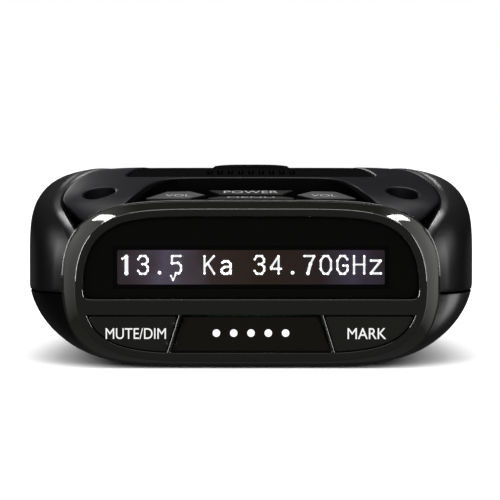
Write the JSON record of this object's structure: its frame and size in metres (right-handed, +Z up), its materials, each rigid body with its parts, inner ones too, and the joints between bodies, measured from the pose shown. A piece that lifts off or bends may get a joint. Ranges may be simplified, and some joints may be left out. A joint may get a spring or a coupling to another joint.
{
  "type": "radar detector",
  "caption": "Windshield radar and laser detector with a lit readout facing the driver, mute and mark keys under it, control keys in a top bowl and a tunnel for a suction bracket.",
  "frame": {"origin": "centre of the footprint at the flat underside", "axes": "+X to the driver's right, +Y from the display towards the windshield, +Z up"},
  "size_m": [0.0702, 0.114, 0.0304],
  "materials": {
    "satin_black": "satin black, fine grain",
    "satin_deck": "satin charcoal with a faint purple sheen",
    "gloss_black": "piano black",
    "bezel_plastic": "semi-gloss black",
    "smoked_window": "smoked clear acrylic",
    "lit_plastic": "clear light pipe, lit white",
    "face_key": "satin black with printed white legend",
    "keycap": "satin black with printed legend",
    "black_nylon": "black moulded nylon",
    "circuit_board": "green solder mask",
    "tinned_steel": "tinned steel",
    "magnet": "sintered magnet",
    "cream_plastic": "cream moulded plastic",
    "ceramic": "glazed ceramic",
    "silicone": "grey silicone rubber",
    "cast_horn": "die-cast, as cast",
    "infrared_plastic": "deep red infrared-pass acrylic",
    "cone_paper": "black pressed paper",
    "screw_steel": "black oxide steel"
  },
  "bodies": {
    "housing": {"lower_housing": "satin_black", "upper_housing": "satin_black", "top_deck": "satin_deck", "gloss_inlay": "gloss_black", "button_tray": "gloss_black", "indicator_panel": "gloss_black", "display_glass": "gloss_black", "bezel_frame": "bezel_plastic", "display_window": "smoked_window", "indicator_light_pipe": "lit_plastic", "bracket_socket": "black_nylon", "display_carrier": "black_nylon", "power_socket": "black_nylon", "earphone_jack": "black_nylon", "processor": "black_nylon", "display_board": "circuit_board", "control_board": "circuit_board", "main_board": "circuit_board", "mute_dim_switch": "tinned_steel", "mark_switch": "tinned_steel", "volume_down_switch": "tinned_steel", "power_switch": "tinned_steel", "menu_switch": "tinned_steel", "volume_up_switch": "tinned_steel", "rf_shield": "tinned_steel", "usb_port": "tinned_steel", "speaker_frame": "tinned_steel", "release_spring": "tinned_steel", "speaker_magnet": "magnet", "gps_antenna": "ceramic", "keypad_mat": "silicone", "horn_antenna": "cast_horn", "laser_lens": "infrared_plastic", "nose_window": "infrared_plastic", "speaker_cone": "cone_paper", "case_screw_1": "screw_steel", "case_screw_2": "screw_steel", "case_screw_3": "screw_steel", "case_screw_4": "screw_steel", "deck_screw_1": "screw_steel", "deck_screw_2": "screw_steel"},
    "mute_dim_key": {"mute_dim_button": "face_key", "mute_dim_plunger": "cream_plastic"},
    "mark_key": {"mark_button": "face_key", "mark_plunger": "cream_plastic"},
    "volume_down_key": {"volume_down_button": "keycap", "volume_down_plunger": "cream_plastic"},
    "power_key": {"power_button": "keycap", "power_plunger": "cream_plastic"},
    "menu_key": {"menu_button": "keycap", "menu_plunger": "cream_plastic"},
    "volume_up_key": {"volume_up_button": "keycap", "volume_up_plunger": "cream_plastic"},
    "release": {"release_button": "gloss_black"}
  },
  "joints": [
    {"name": "mute_dim_press", "type": "slide", "parent": "housing", "child": "mute_dim_key", "axis": [0, 1, 0], "range_m": [0, 0.0005], "stiffness_N_per_m": 600},
    {"name": "mark_press", "type": "slide", "parent": "housing", "child": "mark_key", "axis": [0, 1, 0], "range_m": [0, 0.0005], "stiffness_N_per_m": 600},
    {"name": "volume_down_press", "type": "slide", "parent": "housing", "child": "volume_down_key", "axis": [0, 0, -1], "range_m": [0, 0.0005], "stiffness_N_per_m": 600},
    {"name": "power_press", "type": "slide", "parent": "housing", "child": "power_key", "axis": [0, 0, -1], "range_m": [0, 0.0005], "stiffness_N_per_m": 600},
    {"name": "menu_press", "type": "slide", "parent": "housing", "child": "menu_key", "axis": [0, 0, -1], "range_m": [0, 0.0005], "stiffness_N_per_m": 600},
    {"name": "volume_up_press", "type": "slide", "parent": "housing", "child": "volume_up_key", "axis": [0, 0, -1], "range_m": [0, 0.0005], "stiffness_N_per_m": 600},
    {"name": "release_press", "type": "slide", "parent": "housing", "child": "release", "axis": [0, 0, -1], "range_m": [0, 0.0015], "stiffness_N_per_m": 400, "deforming": ["release_spring"]}
  ]
}
